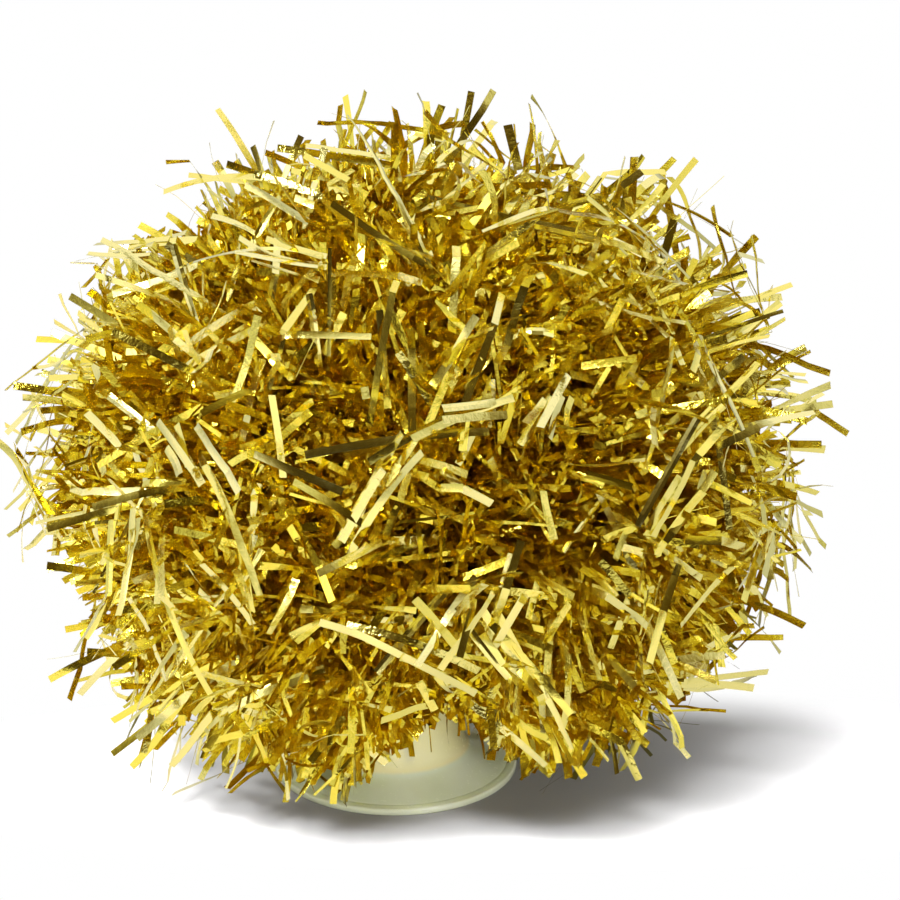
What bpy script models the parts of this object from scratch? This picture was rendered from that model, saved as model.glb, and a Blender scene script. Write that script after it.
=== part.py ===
"""Cheer pom pom: foil tufts bound in tiers round a post, which stands on a hollow moulded handle.

Metres, +Z up. The origin is the centre of the handle's foot, on the surface that it stands on.
Profiles are lists of (radius, height) round the Z axis.
"""

import math
import random

import bmesh
import bpy
from mathutils import Vector

# The ball of foil, a slightly flattened spheroid.
BALL_CENTRE_Z = 0.111
BALL_RADIUS = 0.134
BALL_HALF_HEIGHT = 0.110

# The handle.
BRIM_RADIUS = 0.040
BRIM_EDGE_HEIGHT = 0.0022
BEAD_RADIUS = 0.0376
BEAD_WIDTH = 0.0014
BEAD_RISE = 0.0005
FOOT_INNER_RADIUS = 0.0365
FLARE_START = (0.0264, 0.0062)
WAIST = (0.0224, 0.0115)
HUB_TOP_RADIUS = 0.0230
HUB_TOP_Z = 0.0420
WALL = 0.0016
SCREW_HOLE_RADIUS = 0.0034

# The bar across the inside of the handle, along Y.
BAR_RADIUS = 0.0035
BAR_Z = 0.0120
BAR_HALF_LENGTH = 0.0180
SOCKET_RADIUS = 0.0055
SOCKET_START = 0.0150
SOCKET_END = 0.0219

# The post and what fastens it.
POST_RADIUS = 0.0070
POST_BORE_RADIUS = 0.0034
POST_FLANGE_RADIUS = 0.0160
POST_FLANGE_THICKNESS = 0.0020
POST_TOP_Z = 0.1540
CAP_RADIUS = 0.0090
CAP_THICKNESS = 0.0024
PLUG_RADIUS = 0.0030
PLUG_LENGTH = 0.0120
WASHER_RADIUS = 0.0080
WASHER_THICKNESS = 0.0010
SCREW_HEAD_RADIUS = 0.0055
SCREW_HEAD_THICKNESS = 0.0028
SCREW_SHANK_RADIUS = 0.0029
SCREW_TIP_Z = 0.0700
SCREW_RECESS_RADIUS = 0.0022
SCREW_RECESS_DEPTH = 0.0016

# The wires that bind the tufts.
TIE_RING_RADIUS = 0.0092
TIE_WIRE_RADIUS = 0.0010

# The tufts. Each tier lies between two boundary curves, which run from the post to the ball.
ROOT_RADIUS = 0.0115
ROOT_BOTTOM_Z = 0.0470
ROOT_TOP_Z = 0.1520
BOUNDARY_LATITUDES = (-68.0, -42.0, -16.0, 10.0, 35.0, 60.0, 86.0)
TIERS = (
    ("skirt", 8),
    ("lower", 9),
    ("middle", 10),
    ("upper", 9),
    ("shoulder", 7),
    ("crown", 4),
)
SKIRT_CONTROL = (0.0340, 0.0500)
LOWER_CONTROL = (0.0520, 0.0640)
SECTOR_GAP = math.radians(2.4)
TIER_GAP = 0.04
DENSE_SHARE = 0.70
POINTS_ACROSS = 3
POINTS_UP = 3
SHORTEST_POINT = 0.90
FULL_LENGTH_ROW = (2, 1)
CHISEL_WIDE = 0.55
CHISEL_NARROW = 0.16

CLEARANCE = 0.0003
SIDES = 36
SMALL_SIDES = 20
WIRE_SIDES = 6
SHARP_ANGLE = math.radians(35)


def clear_scene():
    for obj in list(bpy.data.objects):
        bpy.data.objects.remove(obj, do_unlink=True)


def make_material(name, colour, roughness, metallic, alpha=1.0):
    material = bpy.data.materials.new(name)
    material.use_nodes = True
    shader = material.node_tree.nodes["Principled BSDF"]
    shader.inputs["Base Color"].default_value = (*colour, 1.0)
    shader.inputs["Roughness"].default_value = roughness
    shader.inputs["Metallic"].default_value = metallic
    shader.inputs["Alpha"].default_value = alpha
    return material


def add_object(name, bm, material, smooth=True):
    """Turns the bmesh into a scene object with its faces pointing out."""
    bmesh.ops.recalc_face_normals(bm, faces=bm.faces)
    mesh = bpy.data.meshes.new(name)
    bm.to_mesh(mesh)
    bm.free()
    if smooth:
        mesh.shade_smooth()
        mesh.set_sharp_from_angle(angle=SHARP_ANGLE)
    mesh.materials.append(material)
    obj = bpy.data.objects.new(name, mesh)
    bpy.context.scene.collection.objects.link(obj)
    return obj


def turned(profile, sides):
    """A bmesh turned round Z. A profile that starts and ends on the axis is closed by it."""
    bm = bmesh.new()
    rings = []
    for radius, height in profile:
        if radius == 0.0:
            rings.append([bm.verts.new((0.0, 0.0, height))] * sides)
            continue
        angles = [2 * math.pi * side / sides for side in range(sides)]
        rings.append([bm.verts.new((radius * math.cos(a), radius * math.sin(a), height)) for a in angles])
    on_axis = profile[0][0] == 0.0
    followers = rings[1:] if on_axis else rings[1:] + rings[:1]
    for ring, following in zip(rings, followers):
        for side in range(sides):
            after = (side + 1) % sides
            corners = (ring[side], ring[after], following[after], following[side])
            bm.faces.new(list(dict.fromkeys(corners)))
    return bm


def cylinder(radius, start, end, sides):
    """A bmesh cylinder between two points."""
    start, end = Vector(start), Vector(end)
    bm = bmesh.new()
    along = end - start
    turn = along.to_track_quat("Z", "Y").to_matrix().to_4x4()
    turn.translation = (start + end) / 2
    bmesh.ops.create_cone(
        bm, cap_ends=True, segments=sides, radius1=radius, radius2=radius, depth=along.length, matrix=turn
    )
    return bm


def cut_or_join(obj, helper, operation):
    """Adds a Boolean with a helper that stays out of the model."""
    helper.hide_render = True
    helper.display_type = "WIRE"
    modifier = obj.modifiers.new(helper.name, "BOOLEAN")
    modifier.operation = operation
    modifier.solver = "EXACT"
    modifier.object = helper


def bezier(points, t):
    """A point on the Bezier curve through the first and last of the control points."""
    while len(points) > 1:
        points = [a.lerp(b, t) for a, b in zip(points, points[1:])]
    return points[0]


def flare_curve():
    """The handle's outside from the brim's slope, through the hollow flare, up to the hub's shoulder."""
    start, waist = Vector(FLARE_START), Vector(WAIST)
    flare = [start, start + Vector((-0.0024, 0.0009)), waist + Vector((0.0000, -0.0032)), waist]
    shoulder = Vector((HUB_TOP_RADIUS, HUB_TOP_Z - 0.0030))
    hub = [waist, waist + Vector((-0.0002, 0.0080)), shoulder + Vector((-0.0006, -0.0090)), shoulder]
    curve = [bezier(flare, step / 6) for step in range(7)]
    curve += [bezier(hub, step / 4) for step in range(1, 5)]
    return curve


def inside_of(curve):
    """The same curve moved in by the wall's thickness."""
    moved = []
    for index, point in enumerate(curve):
        before = curve[max(index - 1, 0)]
        after = curve[min(index + 1, len(curve) - 1)]
        along = (after - before).normalized()
        moved.append(point + WALL * Vector((-along.y, along.x)))
    return [point for point in moved if point.y < HUB_TOP_Z - WALL]


def build_handle_base(plastic):
    curve = flare_curve()
    inner = inside_of(curve)
    half_bead = BEAD_WIDTH / 2
    slope_z = BRIM_EDGE_HEIGHT + 0.0002
    profile = [(SCREW_HOLE_RADIUS, HUB_TOP_Z), (HUB_TOP_RADIUS - 0.0022, HUB_TOP_Z)]
    profile.append((HUB_TOP_RADIUS - 0.0005, HUB_TOP_Z - 0.0010))
    profile += [(point.x, point.y) for point in reversed(curve)]
    profile += [
        (BEAD_RADIUS - half_bead, slope_z),
        (BEAD_RADIUS - half_bead / 2, slope_z + BEAD_RISE),
        (BEAD_RADIUS + half_bead / 2, slope_z + BEAD_RISE),
        (BEAD_RADIUS + half_bead, slope_z),
        (BRIM_RADIUS - 0.0004, BRIM_EDGE_HEIGHT),
        (BRIM_RADIUS, BRIM_EDGE_HEIGHT - 0.0004),
        (BRIM_RADIUS, 0.0),
        (FOOT_INNER_RADIUS, 0.0),
        (FOOT_INNER_RADIUS - 0.0004, 0.0008),
    ]
    profile += [(point.x, point.y) for point in inner]
    profile += [(HUB_TOP_RADIUS - 0.0030, HUB_TOP_Z - WALL), (SCREW_HOLE_RADIUS, HUB_TOP_Z - WALL)]
    base = add_object("handle_base", turned(profile, SIDES), plastic)
    for sign, side in ((-1, "front"), (1, "back")):
        boss = cylinder(SOCKET_RADIUS, (0, sign * SOCKET_START, BAR_Z), (0, sign * SOCKET_END, BAR_Z), 16)
        cut_or_join(base, add_object(f"socket_{side}", boss, plastic), "UNION")
    reach = BAR_HALF_LENGTH + CLEARANCE
    hollow = cylinder(BAR_RADIUS + CLEARANCE, (0, -reach, BAR_Z), (0, reach, BAR_Z), 16)
    cut_or_join(base, add_object("bar_space", hollow, plastic), "DIFFERENCE")


def build_grip_bar(plastic):
    ends = ((0, -BAR_HALF_LENGTH, BAR_Z), (0, BAR_HALF_LENGTH, BAR_Z))
    add_object("grip_bar", cylinder(BAR_RADIUS, *ends, 16), plastic)


def build_core_post(plastic):
    foot_z = HUB_TOP_Z + CLEARANCE
    flange_top = foot_z + POST_FLANGE_THICKNESS
    profile = [
        (POST_BORE_RADIUS, POST_TOP_Z),
        (POST_RADIUS, POST_TOP_Z),
        (POST_RADIUS, flange_top),
        (POST_FLANGE_RADIUS, flange_top),
        (POST_FLANGE_RADIUS, foot_z),
        (POST_BORE_RADIUS, foot_z),
    ]
    add_object("core_post", turned(profile, SMALL_SIDES), plastic)


def build_post_cap(plastic):
    under = POST_TOP_Z + CLEARANCE
    profile = [
        (0.0, under + CAP_THICKNESS),
        (CAP_RADIUS - 0.0020, under + CAP_THICKNESS),
        (CAP_RADIUS, under + CAP_THICKNESS / 2),
        (CAP_RADIUS, under),
        (PLUG_RADIUS, under),
        (PLUG_RADIUS, POST_TOP_Z - PLUG_LENGTH),
        (0.0, POST_TOP_Z - PLUG_LENGTH),
    ]
    add_object("post_cap", turned(profile, SMALL_SIDES), plastic)


def build_clamp_screw(steel):
    """The washer lies under the hub's top, and the screw's head under the washer."""
    washer_top = HUB_TOP_Z - WALL - CLEARANCE
    washer_bottom = washer_top - WASHER_THICKNESS
    washer = [
        (SCREW_HOLE_RADIUS, washer_top),
        (WASHER_RADIUS, washer_top),
        (WASHER_RADIUS, washer_bottom),
        (SCREW_HOLE_RADIUS, washer_bottom),
    ]
    add_object("clamp_washer", turned(washer, SMALL_SIDES), steel)
    head_top = washer_bottom - CLEARANCE
    head_bottom = head_top - SCREW_HEAD_THICKNESS
    screw = [
        (0.0, SCREW_TIP_Z),
        (SCREW_SHANK_RADIUS - 0.0010, SCREW_TIP_Z - 0.0015),
        (SCREW_SHANK_RADIUS, SCREW_TIP_Z - 0.0040),
        (SCREW_SHANK_RADIUS, head_top),
        (SCREW_HEAD_RADIUS, head_top),
        (SCREW_HEAD_RADIUS - 0.0008, head_bottom),
        (0.0, head_bottom),
    ]
    obj = add_object("clamp_screw", turned(screw, SMALL_SIDES), steel)
    recess_ends = ((0, 0, head_bottom - 0.0010), (0, 0, head_bottom + SCREW_RECESS_DEPTH))
    recess = cylinder(SCREW_RECESS_RADIUS, *recess_ends, 6)
    cut_or_join(obj, add_object("screw_recess", recess, steel, smooth=False), "DIFFERENCE")


def root_height(boundary):
    share = boundary / (len(BOUNDARY_LATITUDES) - 1)
    return ROOT_BOTTOM_Z + share * (ROOT_TOP_Z - ROOT_BOTTOM_Z)


def build_tie_wires(wire):
    """One ring of wire for each tier, halfway up the tier's root."""
    for index, (tier, _) in enumerate(TIERS):
        height = (root_height(index) + root_height(index + 1)) / 2
        angles = [-2 * math.pi * side / WIRE_SIDES for side in range(WIRE_SIDES)]
        profile = [
            (TIE_RING_RADIUS + TIE_WIRE_RADIUS * math.cos(a), height + TIE_WIRE_RADIUS * math.sin(a))
            for a in angles
        ]
        add_object(f"tie_wire_{tier}", turned(profile, SMALL_SIDES), wire)


def ball_point(latitude):
    angle = math.radians(latitude)
    return Vector((BALL_RADIUS * math.cos(angle), BALL_CENTRE_Z + BALL_HALF_HEIGHT * math.sin(angle)))


def boundary_control(boundary):
    """The middle control point of a boundary curve: the low ones arch over the handle."""
    if boundary == 0:
        return Vector(SKIRT_CONTROL)
    if boundary == 1:
        return Vector(LOWER_CONTROL)
    root = Vector((ROOT_RADIUS, root_height(boundary)))
    return root.lerp(ball_point(BOUNDARY_LATITUDES[boundary]), 0.5)


def tuft_point(tier, rise, reach, angle):
    """A point of the tier: rise runs from its lower to its upper boundary, reach from post to ball."""
    root = Vector((ROOT_RADIUS, root_height(tier + rise)))
    control = boundary_control(tier).lerp(boundary_control(tier + 1), rise)
    low, high = BOUNDARY_LATITUDES[tier : tier + 2]
    radius, height = bezier([root, control, ball_point(low + rise * (high - low))], reach)
    return Vector((radius * math.cos(angle), radius * math.sin(angle), height))


def add_dense_end(bm, tier, rises, angles, reach):
    """The grid of points where the dense wedge ends and the separate points of foil begin."""
    return {
        (column, row): bm.verts.new(tuft_point(tier, rise, reach, angle))
        for column, angle in enumerate(angles)
        for row, rise in enumerate(rises)
    }


def edge_keys():
    """The grid places round a tuft's edge, in order."""
    across, up = POINTS_ACROSS, POINTS_UP
    keys = [(column, 0) for column in range(across)]
    keys += [(across, row) for row in range(up)]
    keys += [(column, up) for column in range(across, 0, -1)]
    keys += [(0, row) for row in range(up, 0, -1)]
    return keys


def add_foil_point(bm, tier, grid, column, row, rises, angles, chance):
    """One chisel-shaped point of foil, which grows out of a cell of the dense end."""
    keys = [(column, row), (column + 1, row), (column + 1, row + 1), (column, row + 1)]
    upright = chance.random() < 0.5
    wide, tall = (CHISEL_NARROW, CHISEL_WIDE) if upright else (CHISEL_WIDE, CHISEL_NARROW)
    reach = 1.0 if (tier, row) == FULL_LENGTH_ROW else chance.uniform(SHORTEST_POINT, 1.0)
    middle_angle = (angles[column] + angles[column + 1]) / 2
    middle_rise = (rises[row] + rises[row + 1]) / 2
    tip = []
    for key_column, key_row in keys:
        angle = middle_angle + wide * (angles[key_column] - middle_angle)
        rise = middle_rise + tall * (rises[key_row] - middle_rise)
        tip.append(bm.verts.new(tuft_point(tier, rise, reach, angle)))
    base = [grid[key] for key in keys]
    for side in range(4):
        after = (side + 1) % 4
        bm.faces.new((base[side], base[after], tip[after], tip[side]))
    bm.faces.new(tip)


def build_tuft(name, tier, sector, count, foil, chance):
    """A bundle of foil strips: a dense wedge from the post outwards, which ends in points."""
    turn = 2 * math.pi / count
    start = turn * (sector + 0.5 * (tier % 2)) + SECTOR_GAP / 2
    angles = [start + (turn - SECTOR_GAP) * step / POINTS_ACROSS for step in range(POINTS_ACROSS + 1)]
    rises = [TIER_GAP / 2 + (1 - TIER_GAP) * step / POINTS_UP for step in range(POINTS_UP + 1)]
    bm = bmesh.new()
    dense = add_dense_end(bm, tier, rises, angles, DENSE_SHARE)
    keys = edge_keys()
    levels = []
    for reach in (0.0, DENSE_SHARE / 3, 2 * DENSE_SHARE / 3):
        levels.append(
            [bm.verts.new(tuft_point(tier, rises[row], reach, angles[column])) for column, row in keys]
        )
    levels.append([dense[key] for key in keys])
    for inner, outer in zip(levels, levels[1:]):
        for place in range(len(keys)):
            after = (place + 1) % len(keys)
            bm.faces.new((inner[place], inner[after], outer[after], outer[place]))
    bm.faces.new(levels[0])
    for column in range(POINTS_ACROSS):
        for row in range(POINTS_UP):
            add_foil_point(bm, tier, dense, column, row, rises, angles, chance)
    bmesh.ops.triangulate(bm, faces=bm.faces)
    add_object(name, bm, foil, smooth=False)


def build_tufts(foils):
    chance = random.Random(7)
    for tier, (tier_name, count) in enumerate(TIERS):
        for sector in range(count):
            foil = foils[(tier + sector) % len(foils)]
            build_tuft(f"{tier_name}_tuft_{sector + 1:02d}", tier, sector, count, foil, chance)


def main():
    clear_scene()
    milky = make_material("milky_plastic", (0.86, 0.88, 0.80), 0.22, 0.0, alpha=0.85)
    white = make_material("white_plastic", (0.83, 0.84, 0.80), 0.40, 0.0)
    steel = make_material("zinc_steel", (0.62, 0.62, 0.60), 0.32, 1.0)
    wire = make_material("tie_wire", (0.55, 0.50, 0.36), 0.35, 1.0)
    foils = [
        make_material("gold_foil", (0.80, 0.60, 0.09), 0.20, 1.0),
        make_material("gold_foil_deep", (0.66, 0.47, 0.05), 0.24, 1.0),
    ]
    build_handle_base(milky)
    build_grip_bar(milky)
    build_core_post(white)
    build_post_cap(white)
    build_clamp_screw(steel)
    build_tie_wires(wire)
    build_tufts(foils)


main()
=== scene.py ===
"""The looks of the cheer pom pom: thousands of gold foil strips and a milky plastic handle."""

import math

import bmesh
import bpy
import numpy as np
from mathutils import Matrix, Vector


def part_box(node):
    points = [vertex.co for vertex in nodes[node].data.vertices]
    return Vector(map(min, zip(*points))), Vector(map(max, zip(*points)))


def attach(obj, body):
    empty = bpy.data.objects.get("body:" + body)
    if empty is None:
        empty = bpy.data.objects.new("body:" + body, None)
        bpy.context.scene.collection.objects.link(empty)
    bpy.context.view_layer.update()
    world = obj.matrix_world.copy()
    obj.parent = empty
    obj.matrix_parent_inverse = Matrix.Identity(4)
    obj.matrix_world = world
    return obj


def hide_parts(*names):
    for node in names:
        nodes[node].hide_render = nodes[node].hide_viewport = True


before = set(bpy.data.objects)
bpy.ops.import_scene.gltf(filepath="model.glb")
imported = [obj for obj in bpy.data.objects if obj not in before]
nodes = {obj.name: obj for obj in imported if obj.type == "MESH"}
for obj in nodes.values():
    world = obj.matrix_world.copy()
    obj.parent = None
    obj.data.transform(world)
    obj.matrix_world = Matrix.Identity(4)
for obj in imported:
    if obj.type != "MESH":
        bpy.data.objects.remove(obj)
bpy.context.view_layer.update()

# ---------------------------------------------- the ball and the handle, from the frame

MM = 0.001
tuft_names = sorted(name for name in nodes if "_tuft_" in name)
tuft_corners = [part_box(name) for name in tuft_names]
BALL_RADIUS = max(high.y for _, high in tuft_corners)
BALL_TOP = max(high.z for _, high in tuft_corners)
BALL_FLATNESS = 0.110 / 0.134
BALL_HALF_HEIGHT = BALL_RADIUS * BALL_FLATNESS
BALL_CENTRE = np.array([0.0, 0.0, BALL_TOP - BALL_HALF_HEIGHT])
BALL_AXES = np.array([BALL_RADIUS, BALL_RADIUS, BALL_HALF_HEIGHT])
_, handle_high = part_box("handle_base")
HUB_TOP = handle_high.z


def points_of(name):
    """A node's points, one row each."""
    mesh = nodes[name].data
    flat = np.empty(len(mesh.vertices) * 3, np.float32)
    mesh.vertices.foreach_get("co", flat)
    return flat.reshape(-1, 3).astype(float)


def outer_profile(name):
    """(heights, radii) of the outside of a turned node, from the bottom up."""
    band_half_height = 0.6 * MM
    co = points_of(name)
    radii = np.hypot(co[:, 0], co[:, 1])
    heights = np.unique(np.round(co[:, 2], 4))
    widest = [radii[np.abs(co[:, 2] - z) < band_half_height].max() for z in heights]
    return heights, np.array(widest)


HANDLE_Z, HANDLE_R = outer_profile("handle_base")

# ---------------------------------------------- how a foil strip grows

CAMERA_ELEVATION = math.radians(22.5)
STRIP_WIDTH = 2.45 * MM
UP = np.array([0.0, 0.0, 1.0])

# The filling ends less far out on one side of the ball, and less still round one direction.
THIN_SIDE = 0.04
HOLLOW = np.array([0.643, 0.293, 0.708])
HOLLOW_DEPTH = 0.09
HOLLOW_NARROWNESS = 8

# The gap in the skirt through which the hub shows.
GAP_MIDDLE = 18 * MM
GAP_HEIGHT = 33 * MM
GAP_HALF_WIDTHS = (30 * MM, 29 * MM)

# How far out the spikes end, where 1 is the ball's surface, and how much further on the ball's top.
SPIKE_LIMIT = (0.97, 1.035)
SPIKE_PAST_TOP = 0.07

# A number of steps that no strip has.
NEVER = 99

# LONG strips end in the open. FILL strips end lower down, more crumpled, and make the mass
# between them. A SHEAF is a few long strips side by side that lie along the surface and run
# past it. In kinds, lean, fold_fill, length, limit, tone and crinkled, the three parts are for
# strips that go straight out, that lean, and that are folded over to lie along the surface.
# Angles are in degrees, except fan and spread in radians.
#
# mean_count      strips on a tuft of mean size; amount changes it for some tiers
# clump           neighbours that share most of their draws; spread is how far their aims differ
# inner_steps     steps inside the ball, before outer_steps of the length that step gives
# kinds           shares of the three kinds; lean is how far each kind is from straight out
# fold_fill       how far out a strip starts to lean, where 1 is the ball's surface
# length          longest open part, in mm
# limit           how far out a strip ends: mean and deviation, within limit_range, plus fuller
# spikes          share that runs past the ball's outline
# fan, roll       how much neighbours differ in heading, and how far they turn about themselves
# refold          share folded once more; dents is the chance of a dent at a step, and its size
# wavy            share with strong waves
# twist           turn for each step: the clump's own, the strip's own, and the step's own
# slim, hair      shares of narrow strips and of strips as fine as a hair
# tone, crumple   what the foil's material reads; tone is partly painted, paler for painted highlight and deeper for painted shade; crinkled is the share that is fully crumpled
# across          points across a strip
LONG = {
    "mean_count": 52,
    "clump": 3,
    "inner_steps": 5,
    "outer_steps": 17,
    "step": 3.8 * MM,
    "kinds": (0.42, 0.30, 0.28),
    "lean": ((2, 20), (22, 55), (58, 100)),
    "fold_fill": ((0.50, 0.66), (0.62, 0.80), (0.78, 0.90)),
    "length": ((40, 70), (30, 60), (20, 58)),
    "limit": ((0.90, 0.05), (0.91, 0.05), (0.97, 0.03)),
    "limit_range": (0.76, 1.00),
    "fuller": {"skirt": 0.09, "lower": 0.03, "upper": 0.01, "shoulder": 0.01},
    "spikes": 0.27,
    "amount": {"skirt": 0.6, "lower": 0.7, "crown": 0.9},
    "spread": 0.035,
    "fan": 0.12,
    "roll": 24,
    "refold": 0.33,
    "dents": (0.13, 20),
    "wavy": 0.5,
    "twist": (3.5, 1.5, 2.5),
    "slim": 0.12,
    "hair": 0.05,
    "tone": ((0.15, 0.75), (0.45, 1.0), (0.55, 1.0)),
    "crumple": 0.0,
    "crinkled": (0.5, 0.25, 0.15),
    "across": 3,
}
FILL = {
    "mean_count": 480,
    "clump": 6,
    "inner_steps": 3,
    "outer_steps": 12,
    "step": 4.2 * MM,
    "kinds": (0.34, 0.36, 0.30),
    "lean": ((2, 24), (24, 58), (58, 98)),
    "fold_fill": ((0.42, 0.56), (0.46, 0.66), (0.58, 0.80)),
    "length": ((35, 65), (25, 55), (20, 56)),
    "limit": ((0.81, 0.07), (0.81, 0.07), (0.85, 0.05)),
    "limit_range": (0.58, 0.93),
    "fuller": {"skirt": 0.19, "lower": 0.06, "upper": -0.02, "shoulder": -0.05, "crown": -0.07},
    "spikes": 0.0,
    "amount": {"skirt": 1.15, "lower": 1.05, "upper": 1.05, "shoulder": 1.25, "crown": 1.3},
    "spread": 0.035,
    "fan": 0.14,
    "roll": 90,
    "refold": 0.16,
    "dents": (0.15, 18),
    "wavy": 0.3,
    "twist": (5.0, 2.5, 3.0),
    "slim": 0.42,
    "hair": 0.02,
    "tone": ((0.0, 0.5), (0.0, 0.5), (0.0, 0.5)),
    "crumple": 0.5,
    "crinkled": (0.0, 0.0, 0.0),
    "across": 2,
}
SHEAF = {
    **LONG,
    "mean_count": 5,
    "clump": 6,
    "kinds": (0.0, 0.4, 0.6),
    "lean": ((2, 20), (50, 70), (70, 88)),
    "fold_fill": ((0.50, 0.66), (0.80, 0.90), (0.88, 0.94)),
    "length": ((40, 70), (45, 62), (40, 62)),
    "limit": ((0.93, 0.06), (0.98, 0.02), (0.99, 0.02)),
    "limit_range": (0.90, 1.01),
    "fuller": {},
    "spikes": 0.0,
    "amount": {"skirt": 0.6, "lower": 0.8},
    "fan": 0.16,
    "roll": 16,
    "refold": 0.0,
    "dents": (0.05, 12),
    "twist": (1.5, 1.0, 1.2),
    "slim": 0.0,
    "hair": 0.0,
}

# More of the LONG strips stand straight out on the upper half of the ball.
UPPER_TIERS = ("upper", "shoulder", "crown")
UPPER_KINDS = (0.50, 0.32, 0.18)

chance = np.random.default_rng(20)


def unit(v):
    return v / np.maximum(np.linalg.norm(v, axis=-1, keepdims=True), 1e-12)


def dot(a, b):
    return np.sum(a * b, axis=-1)


def turned(v, axis, angle):
    """v turned about a unit axis, row by row."""
    c, s = np.cos(angle)[:, None], np.sin(angle)[:, None]
    return v * c + np.cross(axis, v) * s + axis * dot(axis, v)[:, None] * (1 - c)


def fill(p):
    """How far out a point lies: 1 on the ball's surface, which is fuller below its middle."""
    round_power, full_power = 2.0, 2.7
    scaled = np.abs((p - BALL_CENTRE) / BALL_AXES)
    level = np.hypot(scaled[..., 0], scaled[..., 1])
    power = np.where(p[..., 2] < BALL_CENTRE[2], full_power, round_power)
    return (level**power + scaled[..., 2] ** power) ** (1 / power)


def lean_over(p):
    """The whole ball hangs a little to one side of its handle."""
    farthest = 9 * MM
    start, run = 14 * MM, 60 * MM
    low, rise, least = 4 * MM, 40 * MM, 0.25
    from_axis = np.hypot(p[..., 0], p[..., 1])
    share = np.clip((from_axis - start) / run, 0, 1) * np.clip((p[..., 2] - low) / rise, least, 1)
    moved = p.copy()
    moved[..., 0] += farthest * share * share * (3 - 2 * share)
    return moved


def tuft_region(name):
    """Root heights and radius, middle azimuth, azimuth half width and latitudes of a CAD tuft."""
    root_depth, outer_part = 0.5 * MM, 0.85
    co = points_of(name)
    radii = np.hypot(co[:, 0], co[:, 1])
    root = co[radii < radii.min() + root_depth]
    scaled = (co - BALL_CENTRE) / BALL_AXES
    outer = co[np.linalg.norm(scaled, axis=-1) > outer_part]
    scaled = (outer - BALL_CENTRE) / BALL_AXES
    middle = math.atan2(outer[:, 1].mean(), outer[:, 0].mean())
    azimuth = np.arctan2(outer[:, 1], outer[:, 0])
    away = (azimuth - middle + math.pi) % (2 * math.pi) - math.pi
    latitude = np.arctan2(scaled[:, 2], np.hypot(scaled[:, 0], scaled[:, 1]))
    return {
        "root": (root[:, 2].min(), root[:, 2].max()),
        "root_radius": radii.min(),
        "azimuth": middle,
        "spread": np.abs(away).max(),
        "latitude": (latitude.min(), latitude.max()),
    }


def shared(clump, draw, jitter):
    """One draw for each clump, plus a little of its own for each strip."""
    return draw(clump.max() + 1)[clump] + jitter * chance.standard_normal(len(clump))


def by_kind(kind, ranges, draw):
    """One draw from the range of each strip's kind."""
    low, high = np.array(ranges, float)[kind].T
    return draw(low, high)


def keep_off_handle(p):
    """Moves points out of the handle and off the floor."""
    wall_clearance, top_clearance, floor_clearance = 0.7 * MM, 0.5 * MM, 1.2 * MM
    radius = np.hypot(p[:, 0], p[:, 1])
    wall = np.interp(p[:, 2], HANDLE_Z, HANDLE_R) + wall_clearance
    inside = (radius < wall) & (p[:, 2] < HUB_TOP + top_clearance)
    scale = np.where(inside, wall / np.maximum(radius, 1e-6), 1.0)
    p[:, 0] *= scale
    p[:, 1] *= scale
    p[:, 2] = np.maximum(p[:, 2], floor_clearance)
    return p


def swept_up(p, allowance):
    """True where a strip would hang over the handle's brim, or in the gap that shows the hub."""
    in_front, beside, hem, flat_top = 30 * MM, 55 * MM, -6 * MM, 1.1
    x, y, z = np.moveaxis(lean_over(p), -1, 0)
    rise = z * math.cos(CAMERA_ELEVATION) + y * math.sin(CAMERA_ELEVATION)
    aside = (x - GAP_MIDDLE) / np.where(x < GAP_MIDDLE, *GAP_HALF_WIDTHS)
    edge = hem + GAP_HEIGHT * np.clip(flat_top - np.abs(aside), 0, 1) + allowance
    return (y < in_front) & (rise < edge) & (np.abs(x) < beside)


def aims_of(region, tier, clump, jitter):
    """Latitudes and azimuths that the strips head for, a little past the tuft's own edges."""
    overlap_up, overlap_round, skirt_drop = 0.12, 1.15, math.radians(7)
    lowest_sine, highest_sine = -0.985, 0.9995
    low, high = region["latitude"]
    overlap = overlap_up * (high - low)
    if tier == "skirt":
        low -= skirt_drop
    bottom = math.sin(low - overlap)
    top = math.sin(min(high + overlap, math.pi / 2))
    sines = shared(clump, lambda n: chance.uniform(bottom, top, n), jitter)
    latitude = np.arcsin(np.clip(sines, lowest_sine, highest_sine))
    half = region["spread"]
    away = shared(clump, lambda n: chance.uniform(-overlap_round, overlap_round, n) * half, jitter)
    return latitude, region["azimuth"] + away


def outward(latitude, azimuth):
    level = np.cos(latitude)
    return np.stack([level * np.cos(azimuth), level * np.sin(azimuth), np.sin(latitude)], axis=-1)


def roots_of(region, clump, azimuth):
    """Where the strips leave the post."""
    height_scatter, angle_scatter = 1.5 * MM, 0.25
    height = shared(clump, lambda n: chance.uniform(*region["root"], n), height_scatter)
    angle = azimuth + angle_scatter * chance.standard_normal(len(clump))
    radius = region["root_radius"]
    height = np.clip(height, *region["root"])
    return np.stack([radius * np.cos(angle), radius * np.sin(angle), height], axis=-1)


def way_round(tier, azimuth):
    """Where the lowest strips turn down over the hub's shoulder, and which strips do."""
    reach, rise = (34 * MM, 10 * MM) if tier == "skirt" else (58 * MM, 22 * MM)
    share = {"skirt": 1.0, "lower": 0.6}.get(tier, 0.0)
    height = HUB_TOP + rise + 0 * azimuth
    over = np.stack([reach * np.cos(azimuth), reach * np.sin(azimuth), height], axis=-1)
    return over, chance.random(len(azimuth)) < share


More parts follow.
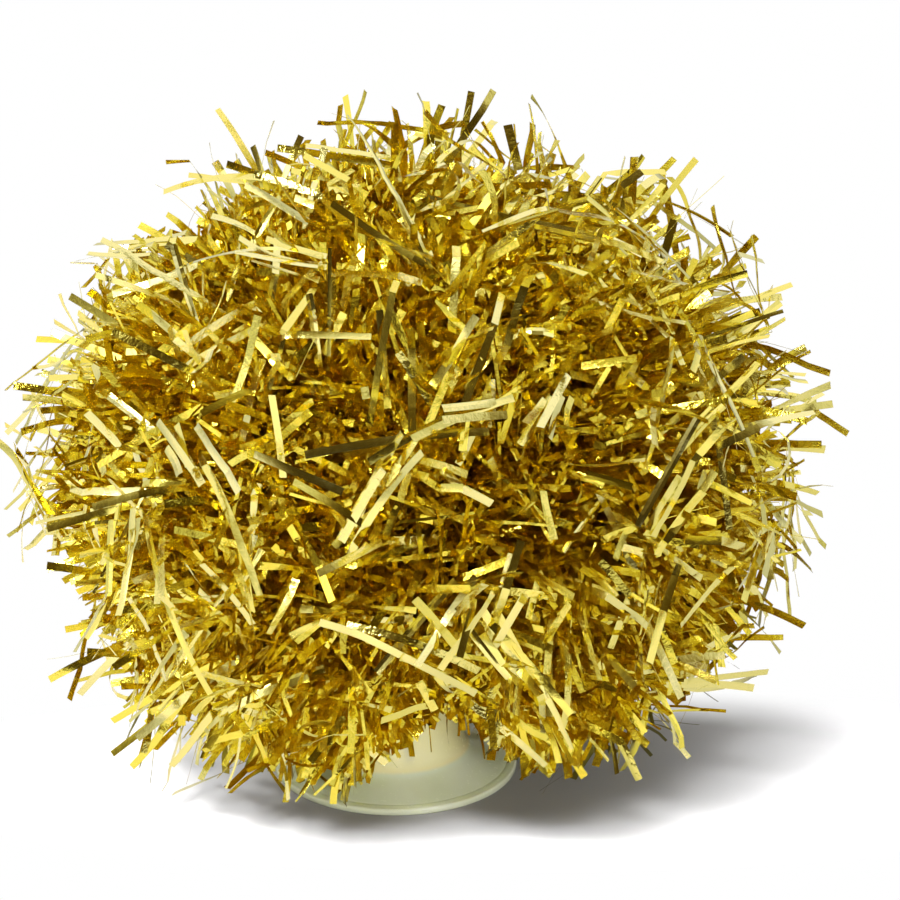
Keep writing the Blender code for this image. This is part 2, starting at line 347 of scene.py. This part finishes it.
def march_in(p, target, over, droops, steps):
    """The hidden first part of a strip, from the post out to its target."""
    places = [p]
    half = steps // 2
    for step in range(steps):
        by_way_of_hub = droops & (step < half)
        aim = np.where(by_way_of_hub[:, None], over, target)
        share = np.where(by_way_of_hub, 1 / max(half - step, 1), 1 / (steps - step))
        p = keep_off_handle(p + (aim - p) * share[:, None])
        places.append(p)
    return places


def limits_of(habit, tier, kind, out):
    """How far out each strip may end, where 1 is the ball's surface."""
    limit = np.clip(by_kind(kind, habit["limit"], chance.normal), *habit["limit_range"])
    limit += habit["fuller"].get(tier, 0.0)
    spike = chance.random(len(kind)) < habit["spikes"]
    past = SPIKE_PAST_TOP if tier in ("shoulder", "crown") else 0.0
    limit = np.where(spike, chance.uniform(*SPIKE_LIMIT, len(kind)) + past, limit)
    if habit is FILL:
        hollow = HOLLOW_DEPTH * np.exp(-HOLLOW_NARROWNESS * (1 - out @ HOLLOW))
        limit -= THIN_SIDE * np.clip(out[:, 0], 0, 1) + hollow
    return limit


def bends_of(habit, tier, clump):
    """How each strip bends: its last fold and tail in steps, its turns for each step, its sag."""
    first_fold, open_end = 3, 5
    fold_degrees, tail_steps = (25, 110), (2, 7)
    curl_degrees, wave_degrees, calm_degrees = 1.2, 6.0, 1.3
    curly_share, curly_degrees = 0.05, (12, 24)
    most_sag, low_tiers_sag = 0.022, 1.6
    count = len(clump)
    folded = chance.random(count) < habit["refold"]
    again = chance.integers(first_fold, habit["outer_steps"] - open_end, count)
    again_turn = np.radians(chance.uniform(*fold_degrees, count)) * chance.choice([-1.0, 1.0], count)
    tail = chance.integers(*tail_steps, count)
    steady, own, _ = habit["twist"]
    twist = np.radians(shared(clump, lambda n: chance.normal(0, steady, n), own))
    curl = np.radians(chance.normal(0, curl_degrees, count))
    wavy = np.where(chance.random(count) < habit["wavy"], wave_degrees, calm_degrees)
    curly = chance.random(count) < curly_share
    strong = np.radians(chance.uniform(*curly_degrees, curly.sum()))
    curl[curly] = strong * chance.choice([-1.0, 1.0], curly.sum())
    sag = chance.uniform(0.0, most_sag, count)
    return {
        "again": np.where(folded, again, NEVER),
        "again_turn": again_turn,
        "tail": tail,
        "twist": twist,
        "curl": curl,
        "wavy": wavy,
        "sag": sag * (low_tiers_sag if tier in ("skirt", "lower") else 1.0),
    }


def march_out(p, t, w, bends, habit):
    """The open part of the strips, step by step: centre points and width directions."""
    count = len(p)
    dent_share, dent_degrees = habit["dents"]
    _, _, wander = habit["twist"]
    places, widths = [], []
    for step in range(habit["outer_steps"]):
        dent = (chance.random(count) < dent_share) * chance.normal(0, dent_degrees, count)
        bend = bends["curl"] + np.radians(dent + chance.normal(0, bends["wavy"]))
        bend = bend + np.where(step == bends["again"], bends["again_turn"], 0.0)
        w = turned(w, t, bends["twist"] + np.radians(chance.normal(0, wander, count)))
        t = turned(t, w, bend)
        t = unit(t - bends["sag"][:, None] * UP)
        new = keep_off_handle(p + t * habit["step"])
        t = unit(new - p)
        w = unit(w - t * dot(w, t)[:, None])
        p = new
        places.append(p)
        widths.append(w)
    return places, widths


def ends_of(places, habit, limit, length, bends, allowance):
    """The number of steps after which each strip is cut off."""
    inner_steps, outer_steps = habit["inner_steps"], habit["outer_steps"]
    outer = np.arange(places.shape[1]) - inner_steps
    cut = (outer > 0) & (fill(places) > limit[:, None])
    cut |= outer * habit["step"] > length[:, None]
    cut |= outer > (bends["again"] + bends["tail"])[:, None]
    cut |= (outer > 1 - inner_steps) & swept_up(places, allowance[:, None])
    alive = np.where(cut.any(1), cut.argmax(1), inner_steps + outer_steps)
    return np.where(alive <= inner_steps, alive - 1, alive)


def sizes_of(habit, count):
    """Widths of the strips: most are cut alike, some are narrow or as fine as a hair."""
    unevenness, least, most = 0.05, 0.85, 1.1
    slim_sizes, hair_size = (0.3, 0.65), 0.10
    size = np.clip(chance.normal(1.0, unevenness, count), least, most)
    slim = chance.random(count)
    size = np.where(slim < habit["slim"], chance.uniform(*slim_sizes, count), size)
    return np.where(slim < habit["hair"], hair_size, size) * STRIP_WIDTH


def grow(region, count, tier, habit):
    """Centre points, width directions, widths, steps, tones and crumple of one tuft's strips."""
    lean_scatter, hem_scatter, stray_share, stray_drop = 0.06, 2.5, 0.04, 12 * MM
    clump = np.arange(count) // habit["clump"]
    latitude, azimuth = aims_of(region, tier, clump, habit["spread"])
    out = outward(latitude, azimuth)
    shares = UPPER_KINDS if tier in UPPER_TIERS and habit is LONG else habit["kinds"]
    kind = chance.choice(3, clump.max() + 1, p=shares)[clump]

    def within(low, high):
        return low + (high - low) * shared(clump, chance.random, lean_scatter)

    lean = np.radians(by_kind(kind, habit["lean"], within))[:, None]
    fold_fill = by_kind(kind, habit["fold_fill"], chance.uniform)
    length = by_kind(kind, habit["length"], chance.uniform) * MM
    limit = limits_of(habit, tier, kind, out)
    target = BALL_CENTRE + out * BALL_AXES * fold_fill[:, None]
    over, droops = way_round(tier, azimuth)
    inner_steps = habit["inner_steps"]
    hidden = march_in(roots_of(region, clump, azimuth), target, over, droops, inner_steps)

    radial = unit(out / BALL_AXES)
    east = unit(np.cross(UP, radial) + 1e-6)
    heading = shared(clump, lambda n: chance.uniform(0, 2 * math.pi, n), habit["fan"])
    sideways = turned(east, radial, heading)
    t = unit(radial * np.cos(lean) + sideways * np.sin(lean))
    crease = unit(np.cross(unit(hidden[-1] - hidden[-2]), t))
    w = turned(crease, t, np.radians(chance.normal(0, habit["roll"], count)))
    bends = bends_of(habit, tier, clump)
    allowance = chance.normal(0, hem_scatter, count) * MM
    allowance -= np.where(chance.random(count) < stray_share, stray_drop, 0)
    shown, shown_widths = march_out(hidden[-1], t, w, bends, habit)

    places = np.stack(hidden + shown, 1)
    widths = np.stack([crease] * (inner_steps + 1) + shown_widths, 1)
    alive = ends_of(places, habit, limit, length, bends, allowance)
    size = sizes_of(habit, count)
    # Tone is random within the kind's range, with painted highlight on paler kinds and painted shade
    # on the filling.
    tone = by_kind(kind, habit["tone"], chance.uniform)
    crinkled = chance.random(count) < np.array(habit["crinkled"])[kind]
    crumple = np.where(crinkled, 1.0, habit["crumple"])
    return places, widths, size, alive, tone, crumple


def ribbon_parts(places, widths, size, alive, tone, crumple, habit):
    """Points, quads, and each point's values of a set of ribbons."""
    cupping, lowest = 0.05, 0.4 * MM
    count, rows = places.shape[:2]
    columns = habit["across"]
    along = unit(np.gradient(places, axis=1))
    widths = unit(widths - along * dot(widths, along)[..., None])
    normal = np.cross(along, widths)
    across = np.linspace(0, 1, columns)
    cup = (chance.normal(0, cupping, count) * size)[:, None, None]
    lines = []
    for place in across:
        aside = widths * (size * (place - 0.5))[:, None, None]
        lines.append(places + aside + normal * cup * (place == 0.5))
    co = lean_over(np.stack(lines, axis=2))
    co[..., 2] = np.maximum(co[..., 2], lowest)
    index = np.arange(count * rows * columns).reshape(count, rows, columns)
    lower, upper = index[:, :-1], index[:, 1:]
    corners = [lower[..., :-1], lower[..., 1:], upper[..., 1:], upper[..., :-1]]
    quads = np.stack(corners, axis=-1)
    kept = np.arange(rows - 1)[None, :] < alive[:, None]
    each = rows * columns
    values = {
        "tone": np.repeat(tone, each),
        "crumple": np.repeat(crumple, each),
        "along": np.tile(np.repeat(np.linspace(0, 1, rows), columns), count),
        "across": np.tile(across, count * rows),
        "strip": np.repeat(np.arange(count), each).astype(float),
    }
    return co.reshape(-1, 3), quads[kept].reshape(-1, 4), values


def join_parts(parts):
    """Several sets of ribbons as one, with unused points dropped."""
    points, faces, values = [], [], {}
    first, strips = 0, 0
    for co, quads, data in parts:
        points.append(co)
        faces.append(quads + first)
        data["strip"] = data["strip"] + strips
        strips = data["strip"].max() + 1
        first += len(co)
        for key, value in data.items():
            values.setdefault(key, []).append(value)
    co, quads = np.concatenate(points), np.concatenate(faces)
    used, compact = np.unique(quads, return_inverse=True)
    values = {key: np.concatenate(value)[used] for key, value in values.items()}
    return co[used], compact.reshape(-1, 4), values, int(strips)


def strip_mesh(name, parts):
    """One mesh of ribbons. Its UV layer gives every strip a band of its own, in two columns."""
    end_margin, side_margin = 0.01, 0.15
    co, quads, values, strips = join_parts(parts)
    mesh = bpy.data.meshes.new(name)
    mesh.vertices.add(len(co))
    mesh.vertices.foreach_set("co", co.astype(np.float32).ravel())
    mesh.loops.add(quads.size)
    mesh.loops.foreach_set("vertex_index", quads.astype(np.int32).ravel())
    mesh.polygons.add(len(quads))
    mesh.polygons.foreach_set("loop_start", np.arange(0, quads.size, 4, dtype=np.int32))
    mesh.update(calc_edges=True)
    for key in ("tone", "crumple"):
        attribute = mesh.attributes.new(key, "FLOAT", "POINT")
        attribute.data.foreach_set("value", values[key].astype(np.float32))
    bands = math.ceil(strips / 2)
    column, row = values["strip"] % 2, values["strip"] // 2
    u = 0.5 * (column + end_margin + (1 - 2 * end_margin) * values["along"])
    v = (row + side_margin + (1 - 2 * side_margin) * values["across"]) / bands
    layer = mesh.uv_layers.new(name="OFBake")
    layer.uv.foreach_set("vector", np.stack([u, v], -1)[quads.ravel()].astype(np.float32).ravel())
    mesh.shade_smooth()
    mesh.set_sharp_from_angle(angle=math.radians(16))
    return mesh


# ---------------------------------------------- materials


def new_material(name):
    material = bpy.data.materials.new(name)
    material.use_nodes = True
    tree = material.node_tree
    return material, tree, tree.nodes["Principled BSDF"]


def add_node(tree, kind, **settings):
    node = tree.nodes.new(kind)
    for key, value in settings.items():
        setattr(node, key, value)
    return node


def set_inputs(node, values):
    """Plain values for a node's sockets, by name."""
    for key, value in values.items():
        node.inputs[key].default_value = value
    return node


def coordinates_of(tree, kind):
    return add_node(tree, "ShaderNodeTexCoord").outputs[kind]


def vector_math(tree, operation, vector, *plain):
    """A vector operation on a linked vector and on plain ones."""
    node = add_node(tree, "ShaderNodeVectorMath", operation=operation)
    tree.links.new(vector, node.inputs[0])
    for place, value in enumerate(plain, 1):
        node.inputs[place].default_value = value
    return node.outputs["Value" if operation in ("DOT_PRODUCT", "LENGTH") else "Vector"]


def ramp_of(tree, factor, stops):
    """A colour ramp from (position, colour) stops."""
    ramp = add_node(tree, "ShaderNodeValToRGB")
    elements = ramp.color_ramp.elements
    while len(elements) < len(stops):
        elements.new(0.5)
    for element, (place, colour) in zip(elements, stops):
        element.position = place
        element.color = (*colour, 1.0)
    tree.links.new(factor, ramp.inputs["Fac"])
    return ramp.outputs["Color"]


def noise_of(tree, scale, detail, rough):
    noise = add_node(tree, "ShaderNodeTexNoise")
    set_inputs(noise, {"Scale": scale, "Detail": detail, "Roughness": rough})
    tree.links.new(coordinates_of(tree, "Object"), noise.inputs["Vector"])
    return noise.outputs["Fac"]


def bump_of(tree, height, strength, distance):
    bump = add_node(tree, "ShaderNodeBump")
    set_inputs(bump, {"Strength": strength, "Distance": distance})
    tree.links.new(height, bump.inputs["Height"])
    return bump.outputs["Normal"]


def ranged(tree, value, low, high):
    """A value from 0 to 1, spread from low to high."""
    spread = add_node(tree, "ShaderNodeMapRange")
    set_inputs(spread, {"To Min": low, "To Max": high})
    tree.links.new(value, spread.inputs["Value"])
    return spread.outputs["Result"]


def steps_up(tree, value, low, high):
    """0 below low, 1 above high, smooth between."""
    step = add_node(tree, "ShaderNodeMapRange", interpolation_type="SMOOTHSTEP")
    set_inputs(step, {"From Min": low, "From Max": high})
    tree.links.new(value, step.inputs["Value"])
    return step.outputs["Result"]


def mixed_colour(tree, factor, first, second):
    """From a linked colour to a plain one."""
    mix = add_node(tree, "ShaderNodeMix", data_type="RGBA")
    mix.inputs[7].default_value = (*second, 1.0)
    tree.links.new(factor, mix.inputs[0])
    tree.links.new(first, mix.inputs[6])
    return mix.outputs[2]


# The foil's colour by tone: deep gold to the middle, then paler. Tone varies at random within each
# kind's range.
# The deep end, given to the filling, is partly painted shade of the deep mass; the pale end, given
# to the strips that lean or lie along the surface, is partly painted highlight.
FOIL_COLOURS = [
    (0.0, (0.86, 0.70, 0.08)),
    (0.5, (0.90, 0.785, 0.14)),
    (0.55, (0.865, 0.755, 0.17)),
    (1.0, (0.86, 0.795, 0.36)),
]


def foil_material():
    """Gold lacquered film: mirror-like metal under clear lacquer, each strip with its own tone,
    partly painted highlight on the paler strips and painted shade on the deeper ones.
    """
    material, tree, shader = new_material("gold_foil")
    tone = add_node(tree, "ShaderNodeAttribute", attribute_name="tone")
    tree.links.new(ramp_of(tree, tone.outputs["Fac"], FOIL_COLOURS), shader.inputs["Base Color"])
    fine = noise_of(tree, 420.0, 3.0, 0.6)
    tree.links.new(ranged(tree, fine, 0.10, 0.25), shader.inputs["Roughness"])
    crumple = add_node(tree, "ShaderNodeAttribute", attribute_name="crumple")
    bump = bump_of(tree, fine, 0.2, 0.0008)
    strength = ranged(tree, crumple.outputs["Fac"], 0.14, 0.52)
    tree.links.new(strength, bump.node.inputs["Strength"])
    tree.links.new(bump, shader.inputs["Normal"])
    set_inputs(shader, {"Metallic": 1.0, "Coat Weight": 0.25, "Coat Roughness": 0.08})
    return material


def milky_material():
    """Milky polypropylene, with painted reflection of the gold foil making the hub warmer, and
    painted shade making the rim deeper.
    """
    # The hub's colour is painted reflection of the gold foil around it.
    hub_start, hub_full, hub_painted_reflection_colour = 7.0 * MM, 8.2 * MM, (0.87, 0.79, 0.44)
    # The edge's colour is painted shade on the rim.
    edge_start, edge_full, rim_painted_shade_colour = 38.2 * MM, 39.8 * MM, (0.60, 0.63, 0.46)
    material, tree, shader = new_material("milky_plastic")
    cloud = noise_of(tree, 60.0, 2.0, 0.5)
    colour = ramp_of(tree, cloud, [(0.3, (0.67, 0.73, 0.51)), (0.7, (0.74, 0.80, 0.61))])
    place = coordinates_of(tree, "Object")
    height = vector_math(tree, "DOT_PRODUCT", place, (0.0, 0.0, 1.0))
    # Painted reflection: the hub turns warmer, as if lit by the gold foil.
    hub = steps_up(tree, height, hub_start, hub_full)
    colour = mixed_colour(tree, hub, colour, hub_painted_reflection_colour)
    # Painted shade: the rim turns darker and greener.
    level = vector_math(tree, "MULTIPLY", place, (1.0, 1.0, 0.0))
    edge = steps_up(tree, vector_math(tree, "LENGTH", level), edge_start, edge_full)
    colour = mixed_colour(tree, edge, colour, rim_painted_shade_colour)
    tree.links.new(colour, shader.inputs["Base Color"])
    skin = noise_of(tree, 900.0, 2.0, 0.5)
    tree.links.new(ranged(tree, skin, 0.18, 0.32), shader.inputs["Roughness"])
    tree.links.new(bump_of(tree, skin, 0.06, 0.0002), shader.inputs["Normal"])
    glow = {"Subsurface Weight": 0.7, "Subsurface Radius": (1.0, 1.0, 0.8)}
    set_inputs(shader, {**glow, "Subsurface Scale": 0.004, "IOR": 1.49})
    return material


def plain_material(name, colours, metallic, roughness, scale):
    """A moulded or metal surface with a mottled tone and an uneven sheen."""
    dark, light = colours
    material, tree, shader = new_material(name)
    mottle = noise_of(tree, scale, 3.0, 0.6)
    colour = ramp_of(tree, mottle, [(0.3, dark), (0.7, light)])
    tree.links.new(colour, shader.inputs["Base Color"])
    tree.links.new(ranged(tree, mottle, *roughness), shader.inputs["Roughness"])
    tree.links.new(bump_of(tree, mottle, 0.08, 0.0002), shader.inputs["Normal"])
    set_inputs(shader, {"Metallic": metallic})
    return material


WHITE_COLOURS = ((0.74, 0.75, 0.71), (0.84, 0.85, 0.81))
STEEL_COLOURS = ((0.52, 0.52, 0.50), (0.66, 0.66, 0.64))
WIRE_COLOURS = ((0.42, 0.36, 0.22), (0.58, 0.52, 0.36))
FOIL = foil_material()
MILKY = milky_material()
WHITE = plain_material("white_plastic", WHITE_COLOURS, 0.0, (0.35, 0.50), 300.0)
STEEL = plain_material("zinc_steel", STEEL_COLOURS, 1.0, (0.25, 0.42), 700.0)
WIRE = plain_material("tie_wire", WIRE_COLOURS, 1.0, (0.28, 0.45), 900.0)

# ---------------------------------------------- the pieces


def add_piece(name, mesh, material, slot, *stands_for):
    mesh.materials.append(material)
    obj = bpy.data.objects.new(name, mesh)
    bpy.context.scene.collection.objects.link(obj)
    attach(obj, "root")
    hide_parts(*stands_for)


def solid_angle(region):
    low, high = region["latitude"]
    return region["spread"] * (math.sin(high) - math.sin(low))


def make_foil():
    """One piece for each CAD tuft, with strips in proportion to the tuft's share of the ball."""
    regions = {node: tuft_region(node) for node in tuft_names}
    mean = sum(solid_angle(region) for region in regions.values()) / len(regions)
    for node, region in regions.items():
        tier, _, number = node.partition("_tuft_")
        share = solid_angle(region) / mean
        parts = []
        for habit in (LONG, FILL, SHEAF):
            count = round(habit["mean_count"] * share * habit["amount"].get(tier, 1.0))
            strips = grow(region, max(count, 1), tier, habit)
            parts.append(ribbon_parts(*strips, habit))
        name = f"foil_{tier}_{number}"
        add_piece(name, strip_mesh(name, parts), FOIL, "gold_foil", node)


def smooth_line(corners, steps):
    """A Catmull-Rom line through the corners, in (radius, height)."""
    p = np.array([corners[0], *corners, corners[-1]])
    line = []
    for a, b, c, d in zip(p, p[1:], p[2:], p[3:]):
        for t in np.arange(steps) / steps:
            square, cube = 2 * a - 5 * b + 4 * c - d, 3 * b - a - 3 * c + d
            line.append(0.5 * (2 * b + (c - a) * t + square * t**2 + cube * t**3))
    return [*line, np.array(corners[-1])]


# The handle's section in mm, as (radius, height), anticlockwise: outside from the hub's top down
# to the foot, then back up inside to the screw's hole.
FLARE = [
    (22.5, 41.6), (22.9, 40.6), (23.0, 39.0), (22.7, 32.0), (22.45, 24.0), (22.35, 16.0),
    (22.6, 11.5), (23.5, 8.6), (25.2, 6.9), (27.6, 5.75), (31.0, 4.5), (34.4, 3.3), (36.7, 2.55),
]
GROOVE = [(36.9, 2.44), (37.1, 2.43), (37.3, 2.48), (37.8, 2.47), (38.3, 2.40)]
RIM = [
    (39.3, 2.25), (39.65, 2.15), (39.9, 1.9), (40.0, 1.55), (40.0, 0.35), (39.85, 0.1), (39.6, 0.0),
]
INSIDE = [
    (36.7, 0.0), (36.3, 0.2), (36.05, 0.75), (33.5, 1.7), (30.3, 2.95), (27.0, 4.1), (24.9, 4.95),
    (22.9, 6.6), (21.6, 8.9), (21.0, 12.0), (20.75, 16.0), (20.85, 24.0), (21.1, 32.0), (21.3, 38.0),
]
HUB_ROOF = [
    (21.1, 39.5), (20.3, 40.3), (19.4, 40.4), (3.4, 40.4), (3.4, 42.0), (21.3, 42.0), (22.1, 41.9),
]
HANDLE_SIDES = 180

# A socket's section in mm, as (radius, depth), and where it starts and how round it is.
SOCKET = [(4.0, 0.0), (5.1, 0.0), (5.4, 0.15), (5.5, 0.45), (5.5, 6.6), (4.0, 6.6)]
SOCKET_START = 15.0 * MM
SOCKET_SIDES = 40


def in_metres(points):
    return [(r * MM, z * MM) for r, z in points]


def handle_profile():
    """The section in metres, with the flare and the inside rounded."""
    outside = [*smooth_line(in_metres(FLARE), 3), *in_metres(GROOVE), *in_metres(RIM)]
    return [*outside, *smooth_line(in_metres(INSIDE), 3), *in_metres(HUB_ROOF)]


def turned_mesh(bm, profile, sides):
    """Adds a closed profile turned round Z."""
    angles = np.arange(sides) * 2 * math.pi / sides
    rings = []
    for r, z in profile:
        rings.append([bm.verts.new((r * math.cos(a), r * math.sin(a), z)) for a in angles])
    for ring, following in zip(rings, rings[1:] + rings[:1]):
        for side in range(sides):
            after = (side + 1) % sides
            bm.faces.new((ring[side], following[side], following[after], ring[after]))


def make_handle():
    """The milky moulding, with the two sockets that hold the finger bar."""
    bm = bmesh.new()
    turned_mesh(bm, handle_profile(), HANDLE_SIDES)
    bar_low, bar_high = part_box("grip_bar")
    bar_z = (bar_low.z + bar_high.z) / 2
    for sign in (-1, 1):
        before = set(bm.verts)
        turned_mesh(bm, [(r * MM, SOCKET_START + z * MM) for r, z in SOCKET], SOCKET_SIDES)
        socket = [vert for vert in bm.verts if vert not in before]
        turn = Matrix.Rotation(-sign * math.pi / 2, 4, "X")
        place = Matrix.Translation((0, 0, bar_z)) @ turn
        bmesh.ops.transform(bm, matrix=place, verts=socket)
    bmesh.ops.recalc_face_normals(bm, faces=bm.faces)
    mesh = bpy.data.meshes.new("handle")
    bm.to_mesh(mesh)
    bm.free()
    mesh.shade_smooth()
    mesh.set_sharp_from_angle(angle=math.radians(50))
    add_piece("handle", mesh, MILKY, "milky_plastic", "handle_base")


HARDWARE = {
    "grip_bar": MILKY,
    "core_post": WHITE,
    "post_cap": WHITE,
    "clamp_screw": STEEL,
    "clamp_washer": STEEL,
    **{name: WIRE for name in nodes if name.startswith("tie_wire")},
}


def dress_hardware():
    """Materials for the CAD's own nodes."""
    for name, material in HARDWARE.items():
        obj = nodes[name]
        if not obj.data.materials:
            obj.data.materials.append(material)
        for slot in obj.material_slots:
            slot.material = material


make_foil()
make_handle()
dress_hardware()

# ---------------------------------------------- the studio

CAMERA_DISTANCE = 1.9
FRAME_WIDTH = 0.2905
AIM = Vector((0.018, 0.0, 0.1117))

# The floor is white beyond an oval round the handle and its shadow.
FLOOR_HALF = 6.0
OVAL_STRETCH = (1.0, 3.0, 0.0)
OVAL_SHIFT = (-0.04, 0.03, 0.0)
OVAL_FADE = (0.125, 0.215)

# The sky by height, and the dark behind the camera by direction, as (cosine, colour).
SKY_TOP = (-0.13, 0.05, 0.99)
SKY = [(0.0, (0.58, 0.58, 0.58)), (0.18, (0.74, 0.74, 0.74)), (0.48, (1.15, 1.15, 1.15))]
DARK_MIDDLE = (0.27, -0.91, 0.32)
DARK = [(0.42, (1.0, 1.0, 1.0)), (0.70, (0.34, 0.29, 0.16)), (0.88, (0.10, 0.07, 0.015))]

# name, place, size, power in watts, and whether the foil mirrors it
SOFTBOXES = (
    ("key", (-1.0, -0.6, 1.1), (0.7, 0.7), 2.2, True),
    ("side", (1.4, -0.3, 0.6), (0.5, 0.9), 0.6, True),
    ("spark", (-0.7, -0.8, 1.5), (0.28, 0.28), 10.0, True),
    ("sweep", (-0.45, -1.45, 1.70), (1.5, 0.3), 310.0, False),
    ("left_sweep", (-1.4, 1.2, 1.00), (0.5, 0.5), 85.0, False),
    ("front_fill", (0.7, -2.3, 0.7), (1.2, 0.9), 48.0, False),
)

# The film's response: (value, shown as), a little deeper than linear.
TONE_CURVE = ((0.05, 0.034), (0.20, 0.178), (0.50, 0.485), (0.80, 0.75))


def seen_by_lens(tree, seen, unseen):
    """One shader for what the lens sees, another for what lights and reflects in the object."""
    path = add_node(tree, "ShaderNodeLightPath")
    mix = add_node(tree, "ShaderNodeMixShader")
    tree.links.new(path.outputs["Is Camera Ray"], mix.inputs[0])
    tree.links.new(unseen, mix.inputs[1])
    tree.links.new(seen, mix.inputs[2])
    return mix.outputs[0]


def make_floor():
    """A pale floor that runs out into plain white some way from the object."""
    mesh = bpy.data.meshes.new("floor")
    signs = ((-1, -1), (1, -1), (1, 1), (-1, 1))
    corners = [(x * FLOOR_HALF, y * FLOOR_HALF, 0) for x, y in signs]
    mesh.from_pydata(corners, [], [(0, 1, 2, 3)])
    floor = bpy.data.objects.new("floor", mesh)
    bpy.context.scene.collection.objects.link(floor)
    material, tree, shader = new_material("floor")
    tree.nodes.remove(shader)
    near = add_node(tree, "ShaderNodeBsdfDiffuse")
    # The grey has a faint painted blue that cancels part of the gold bounce light in the floor's
    # shadow.
    near.inputs["Color"].default_value = (0.34, 0.34, 0.35, 1.0)
    far = add_node(tree, "ShaderNodeEmission")
    place = coordinates_of(tree, "Object")
    oval = vector_math(tree, "MULTIPLY_ADD", place, OVAL_STRETCH, OVAL_SHIFT)
    distance = vector_math(tree, "LENGTH", oval)
    seen = add_node(tree, "ShaderNodeMixShader")
    tree.links.new(steps_up(tree, distance, *OVAL_FADE), seen.inputs[0])
    tree.links.new(near.outputs[0], seen.inputs[1])
    tree.links.new(far.outputs[0], seen.inputs[2])
    # What the foil reflects and what lights the object is a darker, warmer copy of the floor:
    # painted shade under the ball and painted gold bounce light.
    unseen = add_node(tree, "ShaderNodeBsdfDiffuse")
    unseen.inputs["Color"].default_value = (0.168, 0.163, 0.142, 1.0)
    mixed = seen_by_lens(tree, seen.outputs[0], unseen.outputs[0])
    tree.links.new(mixed, tree.nodes["Material Output"].inputs["Surface"])
    mesh.materials.append(material)


def make_world():
    """A white studio, dark on the camera's side."""
    world = bpy.data.worlds.new("studio")
    bpy.context.scene.world = world
    world.use_nodes = True
    tree = world.node_tree
    background = tree.nodes["Background"]
    direction = coordinates_of(tree, "Generated")
    sky = ramp_of(tree, vector_math(tree, "DOT_PRODUCT", direction, SKY_TOP), SKY)
    dark = ramp_of(tree, vector_math(tree, "DOT_PRODUCT", direction, DARK_MIDDLE), DARK)
    product = add_node(tree, "ShaderNodeMix", data_type="RGBA", blend_type="MULTIPLY")
    product.inputs[0].default_value = 1.0
    tree.links.new(sky, product.inputs[6])
    tree.links.new(dark, product.inputs[7])
    tree.links.new(product.outputs[2], background.inputs["Color"])
    white = add_node(tree, "ShaderNodeBackground")
    white.inputs["Color"].default_value = (1.0, 1.0, 1.0, 1.0)
    mixed = seen_by_lens(tree, white.outputs[0], background.outputs[0])
    tree.links.new(mixed, tree.nodes["World Output"].inputs["Surface"])


def make_lights():
    """Softboxes, all turned to the middle of the ball."""
    for name, place, size, power, mirrored in SOFTBOXES:
        light = bpy.data.lights.new(name, "AREA")
        light.shape = "RECTANGLE"
        light.size, light.size_y = size
        light.energy = power
        obj = bpy.data.objects.new(name, light)
        obj.location = place
        obj.rotation_mode = "QUATERNION"
        obj.rotation_quaternion = (Vector(BALL_CENTRE) - Vector(place)).to_track_quat("-Z", "Y")
        obj.visible_glossy = mirrored
        bpy.context.scene.collection.objects.link(obj)


def make_camera():
    data = bpy.data.cameras.new("camera")
    camera = bpy.data.objects.new("camera", data)
    bpy.context.scene.collection.objects.link(camera)
    data.lens = data.sensor_width * CAMERA_DISTANCE / FRAME_WIDTH
    back = Vector((0.0, -math.cos(CAMERA_ELEVATION), math.sin(CAMERA_ELEVATION)))
    camera.location = AIM + back * CAMERA_DISTANCE
    camera.rotation_mode = "QUATERNION"
    camera.rotation_quaternion = (-back).to_track_quat("-Z", "Y")
    data.clip_start, data.clip_end = 0.1, 20.0
    bpy.context.scene.camera = camera


def set_tones():
    """Plain sRGB with the film's response, and enough bounces for foil in front of foil."""
    settings = bpy.context.scene.view_settings
    settings.view_transform = "Standard"
    settings.use_curve_mapping = True
    points = settings.curve_mapping.curves[3].points
    for value, shown_as in TONE_CURVE:
        points.new(value, shown_as)
    settings.curve_mapping.update()
    bpy.context.scene.cycles.max_bounces = 16
    bpy.context.scene.cycles.glossy_bounces = 12


make_floor()
make_world()
make_lights()
make_camera()
set_tones()
